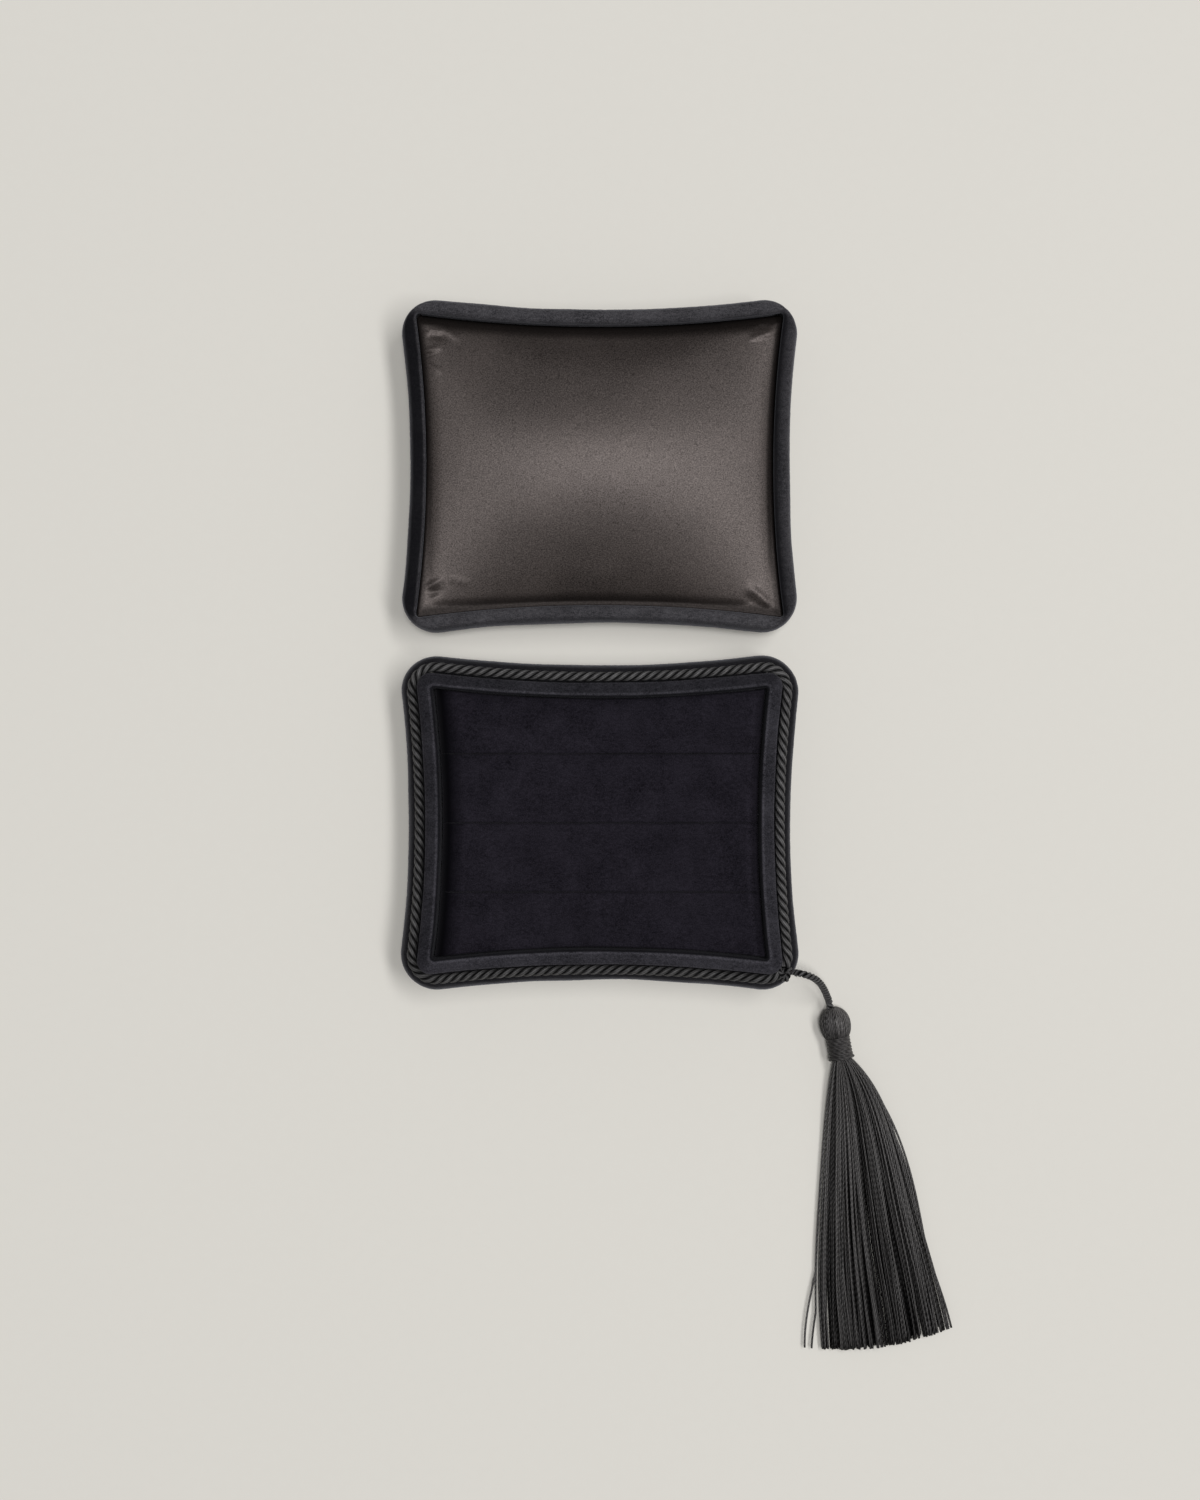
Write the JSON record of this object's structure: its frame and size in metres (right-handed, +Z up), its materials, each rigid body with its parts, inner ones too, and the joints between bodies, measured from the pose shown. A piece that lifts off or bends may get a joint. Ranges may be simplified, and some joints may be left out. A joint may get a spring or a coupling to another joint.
{
  "type": "jewelry case",
  "caption": "Pillow-shaped velvet jewelry case with a lift-off lid, a satin cushion in the lid, slotted ring rolls, a rope edge and a tassel at one corner.",
  "frame": {"origin": "middle of the base's underside, on the surface it stands on", "axes": "+Z up, +X to the right and -Y towards the front; the lid lies behind the base at +Y and the tassel in front at -Y"},
  "size_m": [0.2094, 0.4014, 0.0305],
  "materials": {
    "case_velvet": "matt black velvet pile",
    "collar_velvet": "matt black velvet pile",
    "pad_velvet": "matt black velvet pile",
    "foam": "soft open foam",
    "board": "grey board",
    "wadding": "soft fibre wadding",
    "twisted_cord": "black rayon cord with a soft shine",
    "tassel_thread": "black silky thread",
    "bead_wood": "plain turned wood",
    "satin": "taupe satin"
  },
  "bodies": {
    "base": {"base_underside_panel": "case_velvet", "base_velvet": "case_velvet", "base_tray": "board", "base_wadding": "wadding", "collar_velvet": "collar_velvet", "collar_frame": "board", "ring_pad_board": "board", "ring_roll_1": "pad_velvet", "ring_foam_1": "foam", "ring_roll_2": "pad_velvet", "ring_foam_2": "foam", "ring_roll_3": "pad_velvet", "ring_foam_3": "foam", "ring_roll_4": "pad_velvet", "ring_foam_4": "foam", "edge_rope": "twisted_cord", "corner_knot": "twisted_cord"},
    "lid": {"lid_velvet": "case_velvet", "lid_wadding": "wadding", "lid_shell": "board", "satin_cushion": "satin", "cushion_board": "board", "cushion_filling": "wadding"},
    "cord": {"tassel_cord": "twisted_cord"},
    "tassel": {"tassel_head": "tassel_thread", "tassel_bead": "bead_wood", "tassel_binding": "twisted_cord", "tassel_skirt": "tassel_thread"}
  },
  "joints": [
    {"name": "lid_flip", "type": "hinge", "parent": "base", "child": "lid", "pos_m": [0, 0.06765, 0.025], "axis": [1, 0, 0], "range_deg": [0, 180]},
    {"name": "tassel_swing", "type": "hinge", "parent": "base", "child": "cord", "pos_m": [0.06997, -0.05668, 0.02385], "axis": [0, 0, 1], "range_deg": [-45, 15]},
    {"name": "tassel_turn", "type": "hinge", "parent": "cord", "child": "tassel", "pos_m": [0.08948, -0.07766, 0.0063], "axis": [0, 0, 1], "range_deg": [-30, 30]}
  ]
}
